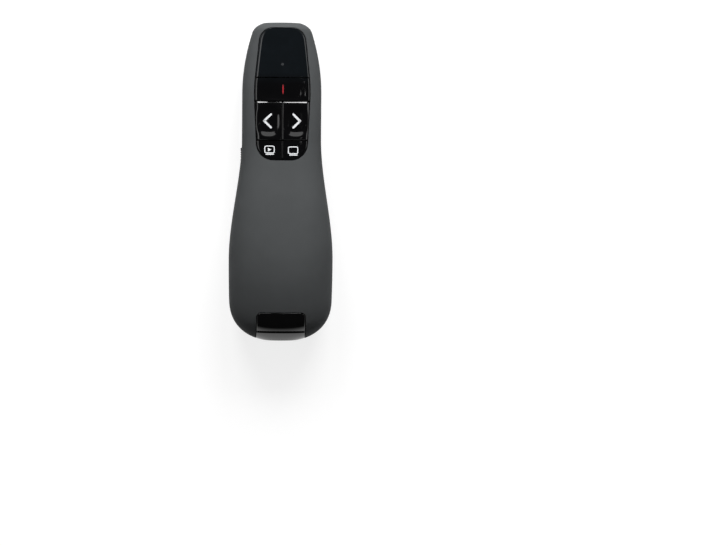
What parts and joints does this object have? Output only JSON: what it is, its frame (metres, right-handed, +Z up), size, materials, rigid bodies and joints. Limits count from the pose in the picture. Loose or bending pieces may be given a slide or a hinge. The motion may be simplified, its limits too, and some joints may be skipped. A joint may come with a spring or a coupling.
{
  "type": "wireless presentation clicker",
  "caption": "Hand-held presentation remote with a keyed gloss panel, a laser pointer in its nose, a battery door and a USB receiver stowed in its tail.",
  "frame": {"origin": "middle of the footprint, on the surface that the belly rests on", "axes": "+X to the right of a user who looks down on the keys with the nose pointing away, +Y towards the nose, +Z up, keys on top"},
  "size_m": [0.0378, 0.1156, 0.0274],
  "materials": {
    "soft_touch": "soft-touch charcoal plastic",
    "gloss_panel": "polished black plastic",
    "dark_plastic": "fine-grained black plastic",
    "board": "solder mask over glass-fibre board",
    "steel": "plated steel",
    "gold": "gold-plated brass",
    "chip": "moulded chip plastic",
    "capacitor": "ceramic",
    "ivory_plastic": "natural nylon",
    "clear_plastic": "clear acrylic",
    "laser_glass": "dark red filter glass",
    "cell_wrap": "shrink sleeve"
  },
  "bodies": {
    "casing": {"top_casing": "soft_touch", "bottom_casing": "soft_touch", "window_lens": "gloss_panel", "key_frame": "dark_plastic", "key_frame_screws": "steel", "main_board": "board", "board_screws": "steel", "key_switches": "dark_plastic", "radio_chip": "chip", "controller_chip": "chip", "crystal": "steel", "chip_capacitors": "capacitor", "status_led": "clear_plastic", "light_pipe": "clear_plastic", "laser_bezel": "steel", "laser_window": "laser_glass", "laser_barrel": "gold", "laser_lens": "clear_plastic", "laser_diode": "gold", "laser_leads": "steel", "power_switch_body": "steel", "battery_tray": "dark_plastic", "tray_screws": "steel", "battery_left": "cell_wrap", "battery_right": "cell_wrap", "battery_plus_contact": "steel", "battery_minus_contact": "steel", "battery_link_contact": "steel", "front_battery_spring": "steel", "rear_battery_spring": "steel", "case_screws": "steel"},
    "laser_key": {"laser_key": "gloss_panel", "laser_plunger": "ivory_plastic"},
    "back_key": {"back_key": "gloss_panel", "back_plunger": "ivory_plastic"},
    "forward_key": {"forward_key": "gloss_panel", "forward_plunger": "ivory_plastic"},
    "slideshow_key": {"slideshow_key": "gloss_panel", "slideshow_plunger": "ivory_plastic"},
    "blank_key": {"blank_key": "gloss_panel", "blank_plunger": "ivory_plastic"},
    "power_slider": {"power_slider": "dark_plastic", "power_switch_lever": "dark_plastic"},
    "battery_door": {"battery_door": "soft_touch"},
    "receiver": {"receiver_base": "gloss_panel", "receiver_cover": "gloss_panel", "receiver_board": "board", "receiver_chip": "chip", "usb_plug_shell": "steel", "usb_plug_tongue": "ivory_plastic", "usb_contacts": "gold"}
  },
  "joints": [
    {"name": "laser_press", "type": "slide", "parent": "casing", "child": "laser_key", "axis": [0, 0, -1], "range_m": [0, 0.0004], "stiffness_N_per_m": 1500},
    {"name": "back_press", "type": "slide", "parent": "casing", "child": "back_key", "axis": [0, 0, -1], "range_m": [0, 0.0004], "stiffness_N_per_m": 1500},
    {"name": "forward_press", "type": "slide", "parent": "casing", "child": "forward_key", "axis": [0, 0, -1], "range_m": [0, 0.0004], "stiffness_N_per_m": 1500},
    {"name": "slideshow_press", "type": "slide", "parent": "casing", "child": "slideshow_key", "axis": [0, 0, -1], "range_m": [0, 0.0004], "stiffness_N_per_m": 1500},
    {"name": "blank_press", "type": "slide", "parent": "casing", "child": "blank_key", "axis": [0, 0, -1], "range_m": [0, 0.0004], "stiffness_N_per_m": 1500},
    {"name": "power_slide", "type": "slide", "parent": "casing", "child": "power_slider", "axis": [0, 1, 0], "range_m": [0, 0.002]},
    {"name": "door_slide", "type": "slide", "parent": "casing", "child": "battery_door", "axis": [0, -1, 0], "range_m": [0, 0.06]},
    {"name": "receiver_slide", "type": "slide", "parent": "casing", "child": "receiver", "axis": [0, -1, 0], "range_m": [0, 0.055]}
  ]
}
